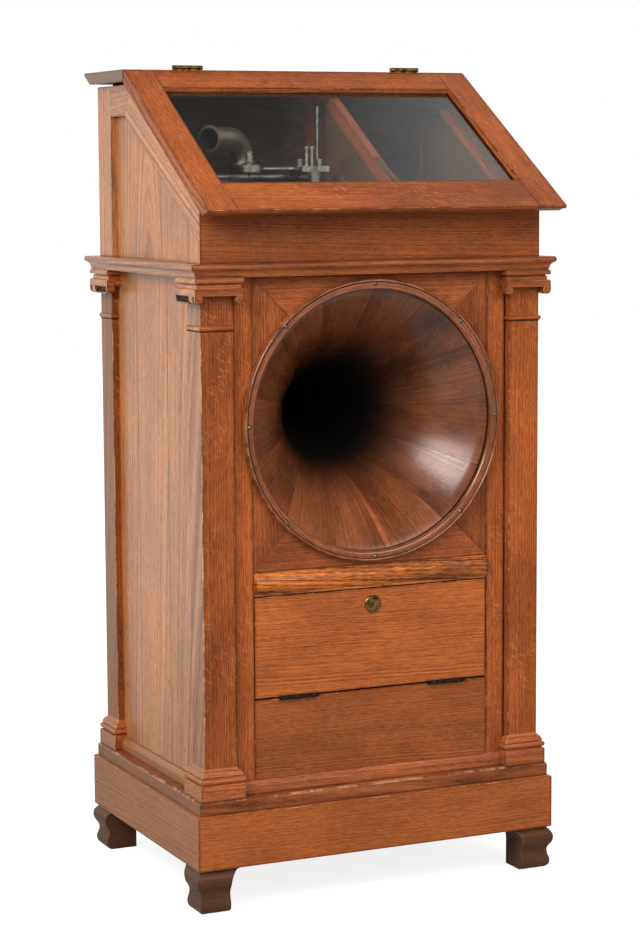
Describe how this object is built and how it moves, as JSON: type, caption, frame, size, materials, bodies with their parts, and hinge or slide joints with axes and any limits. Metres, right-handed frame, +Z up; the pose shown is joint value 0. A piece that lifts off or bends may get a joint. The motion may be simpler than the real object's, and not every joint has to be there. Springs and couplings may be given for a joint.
{
  "type": "coin-operated cabinet phonograph",
  "caption": "Free-standing oak case with a round horn mouth in its front, a drop-front cash door, a sloping glazed lid and a spring-driven cylinder phonograph inside.",
  "frame": {"origin": "on the floor, below the middle of the whole object's outline", "axes": "+X to the right seen from the front, +Y to the back, +Z up"},
  "size_m": [0.726, 0.6066, 1.5084],
  "materials": {
    "oak": "varnished oak, quarter sawn",
    "oak_dark": "dark varnished oak",
    "horn_wood": "varnished wood staves",
    "inner_wood": "plain wood",
    "brass": "aged brass",
    "iron": "black iron",
    "steel": "bright steel",
    "nickel": "nickel plate",
    "black_paint": "black japanned casting",
    "tin": "sheet metal",
    "wax": "moulded wax",
    "glass": "clear glass",
    "belt": "round leather belt"
  },
  "bodies": {
    "case": {"bracket_feet": "oak_dark", "skirt_boards": "oak", "floor_board": "oak", "bottom_mouldings": "oak", "plinth_blocks": "oak", "post_front_left": "oak", "post_back_left": "oak", "post_front_right": "oak", "post_back_right": "oak", "capitals": "oak", "cornice": "oak", "side_panel_left": "oak", "side_panel_right": "oak", "back_panel": "inner_wood", "front_stiles": "oak", "horn_boards": "oak", "head_rail": "oak", "lower_front_panel": "oak", "cash_shelf": "inner_wood", "horn_staves": "horn_wood", "mouth_ring": "horn_wood", "ring_screws": "brass", "horn_neck": "tin", "upper_side_left": "oak", "upper_side_right": "oak", "frieze_board": "oak", "upper_back": "oak", "deck_board": "inner_wood", "partition": "oak", "top_board": "oak", "lid_hinge_fixed": "brass", "door_hinge_fixed": "iron", "cash_box": "tin", "wall_plates": "brass", "coin_chute": "tin", "bedplate": "black_paint", "guide_rods": "steel", "stand_pipe": "nickel", "motor_frame": "steel", "drive_belt": "belt"},
    "lid": {"lid_frame": "oak", "lid_glass": "glass", "lid_hinge_leaves": "brass"},
    "door": {"door": "oak", "door_hinge_leaves": "iron", "lock_body": "brass"},
    "lock": {"lock_plug": "steel"},
    "shaft": {"main_shaft": "steel", "mandrel": "nickel", "cylinder_record": "wax"},
    "carriage": {"carriage": "nickel"},
    "reproducer": {"reproducer": "nickel"},
    "elbow": {"horn_elbow": "nickel"},
    "barrel": {"spring_barrel": "brass"},
    "winder": {"winding_arbor": "steel"},
    "middle": {"middle_wheels": "brass"},
    "output": {"output_arbor": "steel"},
    "governor": {"governor": "brass"},
    "coin_lever": {"coin_lever": "steel"},
    "brake": {"brake_lever": "steel"}
  },
  "joints": [
    {"name": "lid_hinge", "type": "hinge", "parent": "case", "child": "lid", "pos_m": [0, 0.09434, 1.5046], "axis": [-1, 0, 0], "range_deg": [0, 75]},
    {"name": "door_hinge", "type": "hinge", "parent": "case", "child": "door", "pos_m": [0, -0.22086, 0.3733], "axis": [1, 0, 0], "range_deg": [0, 170]},
    {"name": "lock_turn", "type": "hinge", "parent": "door", "child": "lock", "pos_m": [0, -0.21666, 0.53], "axis": [0, -1, 0], "range_deg": [0, 90]},
    {"name": "elbow_swivel", "type": "hinge", "parent": "case", "child": "elbow", "pos_m": [-0.123, 0.08034, 1.323], "axis": [0, 0, 1], "range_deg": [-60, 20]},
    {"name": "carriage_slide", "type": "slide", "parent": "case", "child": "carriage", "axis": [-1, 0, 0], "range_m": [0, 0.085]},
    {"name": "reproducer_lift", "type": "hinge", "parent": "carriage", "child": "reproducer", "pos_m": [-0.062, -0.01966, 1.315], "axis": [-1, 0, 0], "range_deg": [0, 40]},
    {"name": "barrel_spin", "type": "hinge", "parent": "case", "child": "barrel", "pos_m": [0.07, 0.06534, 1.09], "axis": [1, 0, 0], "continuous": true},
    {"name": "middle_spin", "type": "hinge", "parent": "case", "child": "middle", "pos_m": [0.07, 0.00534, 1.09], "axis": [1, 0, 0], "continuous": true},
    {"name": "output_spin", "type": "hinge", "parent": "case", "child": "output", "pos_m": [0.019, -0.04966, 1.09], "axis": [1, 0, 0], "continuous": true},
    {"name": "governor_spin", "type": "hinge", "parent": "case", "child": "governor", "pos_m": [0.12, 0.03507, 1.04373], "axis": [1, 0, 0], "continuous": true},
    {"name": "shaft_spin", "type": "hinge", "parent": "case", "child": "shaft", "pos_m": [0, -0.04966, 1.27], "axis": [1, 0, 0], "continuous": true},
    {"name": "winder_turn", "type": "hinge", "parent": "case", "child": "winder", "pos_m": [0.332, 0.06534, 1.09], "axis": [1, 0, 0], "continuous": true},
    {"name": "coin_lever_tip", "type": "hinge", "parent": "case", "child": "coin_lever", "pos_m": [0.268, -0.12966, 1.187], "axis": [0, 1, 0], "range_deg": [0, 20], "stiffness_Nm_per_rad": 0.02, "springref_deg": -8.59},
    {"name": "brake_release", "type": "hinge", "parent": "case", "child": "brake", "pos_m": [0.151, -0.01963, 1.04373], "axis": [1, 0, 0], "range_deg": [0, 12]}
  ],
  "couplings": [
    {"joint": "middle_spin", "follows": "barrel_spin", "ratio": -4},
    {"joint": "output_spin", "follows": "barrel_spin", "ratio": 16},
    {"joint": "governor_spin", "follows": "barrel_spin", "ratio": 16},
    {"joint": "shaft_spin", "follows": "barrel_spin", "ratio": 7.5493},
    {"joint": "brake_release", "follows": "coin_lever_tip", "ratio": 0.6}
  ]
}
